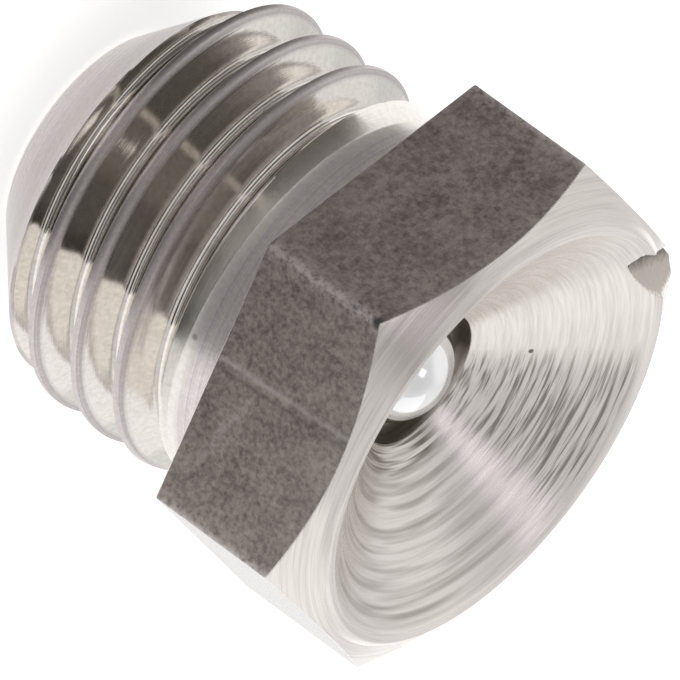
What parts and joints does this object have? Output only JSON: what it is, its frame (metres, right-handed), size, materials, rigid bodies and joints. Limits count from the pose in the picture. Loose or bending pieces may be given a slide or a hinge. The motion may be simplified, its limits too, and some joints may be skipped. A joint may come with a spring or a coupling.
{
  "type": "grease nipple",
  "caption": "Funnel-mouth grease nipple with a hexagon head, an M8 x 1 thread, a tapered nose and a sprung check ball in its throat.",
  "frame": {"origin": "centre of the hexagon's underside, the plane that seats on the machine", "axes": "+Z along the nipple's axis out of the funnel, +Y square to one wrench flat, +X through a corner of the hexagon"},
  "size_m": [0.0104, 0.009, 0.0095],
  "materials": {
    "turned_steel": "turned stainless steel with a drawn-bar skin on the hexagon",
    "polished_steel": "polished ball",
    "spring_wire": "drawn wire"
  },
  "bodies": {
    "nipple": {"nipple_body": "turned_steel", "valve_spring": "spring_wire"},
    "ball": {"check_ball": "polished_steel"}
  },
  "joints": [
    {"name": "ball_lift", "type": "slide", "parent": "nipple", "child": "ball", "axis": [0, 0, -1], "range_m": [0, 0.0008], "stiffness_N_per_m": 1100, "springref_m": -0.0009, "deforming": ["valve_spring"]}
  ]
}
